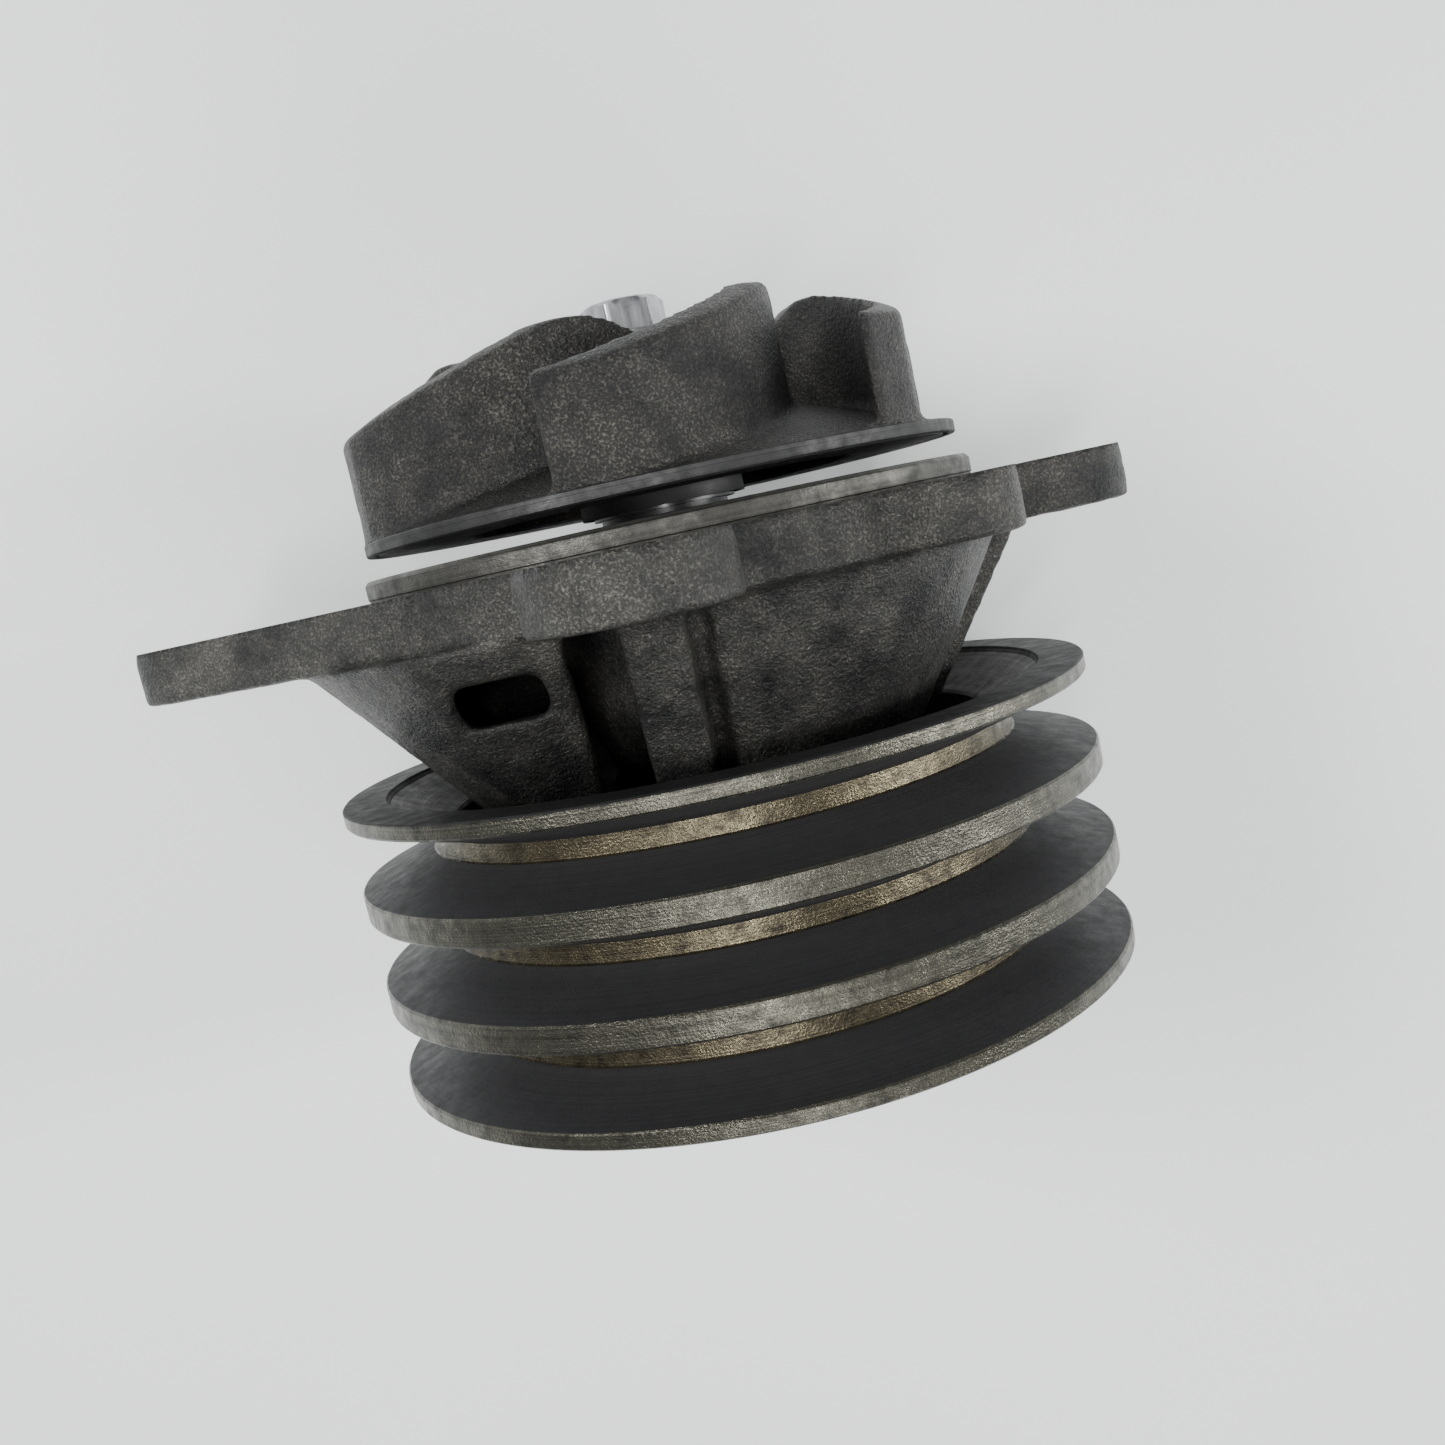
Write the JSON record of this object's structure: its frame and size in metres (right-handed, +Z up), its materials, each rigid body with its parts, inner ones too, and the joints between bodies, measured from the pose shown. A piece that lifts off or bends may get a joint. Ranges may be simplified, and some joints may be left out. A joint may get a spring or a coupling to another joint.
{
  "type": "water pump",
  "caption": "Belt-driven engine water pump: cast housing with lobed flange, open six-vane impeller on one end of the shaft, three-groove pulley on the other.",
  "frame": {"origin": "centre of the pilot, in the plane of the flange's mounting face, on the shaft line", "axes": "+Y along the shaft from the pulley towards the impeller; +Z up as the pump lies on its side, towards the top boss; +X to the right ear"},
  "size_m": [0.2107, 0.1497, 0.1804],
  "materials": {
    "housing_iron": "rough as-cast grey iron, dark",
    "impeller_iron": "rough as-cast grey iron",
    "pulley_iron": "turned cast iron, satin",
    "steel": "ground steel",
    "bearing_steel": "ground and polished",
    "ball_steel": "polished",
    "cage_brass": "pressed brass",
    "zinc_bolt": "bright zinc plate",
    "washer_steel": "dull zinc plate",
    "seal_rubber": "matt black",
    "seal_carbon": "lapped carbon",
    "seal_ceramic": "lapped ceramic",
    "seal_brass": "pressed brass",
    "lip_rubber": "brown rubber on a steel case"
  },
  "bodies": {
    "housing": {"housing": "housing_iron", "seal_carbon": "seal_carbon", "seal_boot": "seal_rubber", "seal_spring": "steel", "seal_shell": "seal_brass", "lip_seal": "lip_rubber", "garter_spring": "steel", "rear_outer_ring": "bearing_steel", "front_outer_ring": "bearing_steel", "snap_ring": "steel", "dust_seal": "seal_rubber"},
    "rotor": {"shaft": "steel", "impeller": "impeller_iron", "impeller_washer": "washer_steel", "impeller_bolt": "zinc_bolt", "seat_ring": "seal_ceramic", "seat_cup": "seal_rubber", "slinger": "seal_rubber", "rear_inner_ring": "bearing_steel", "front_inner_ring": "bearing_steel", "pulley": "pulley_iron", "pulley_key": "steel", "pulley_washer": "washer_steel", "pulley_bolt": "zinc_bolt"},
    "rear_cage_body": {"rear_balls": "ball_steel", "rear_cage": "cage_brass"},
    "front_cage_body": {"front_balls": "ball_steel", "front_cage": "cage_brass"}
  },
  "joints": [
    {"name": "rotor_spin", "type": "hinge", "parent": "housing", "child": "rotor", "pos_m": [0, 0, 0], "axis": [0, 1, 0], "continuous": true},
    {"name": "rear_cage_spin", "type": "hinge", "parent": "housing", "child": "rear_cage_body", "pos_m": [0, 0, 0], "axis": [0, 1, 0], "continuous": true},
    {"name": "front_cage_spin", "type": "hinge", "parent": "housing", "child": "front_cage_body", "pos_m": [0, 0, 0], "axis": [0, 1, 0], "continuous": true}
  ],
  "couplings": [
    {"joint": "rear_cage_spin", "follows": "rotor_spin", "ratio": 0.3962},
    {"joint": "front_cage_spin", "follows": "rotor_spin", "ratio": 0.3948}
  ]
}
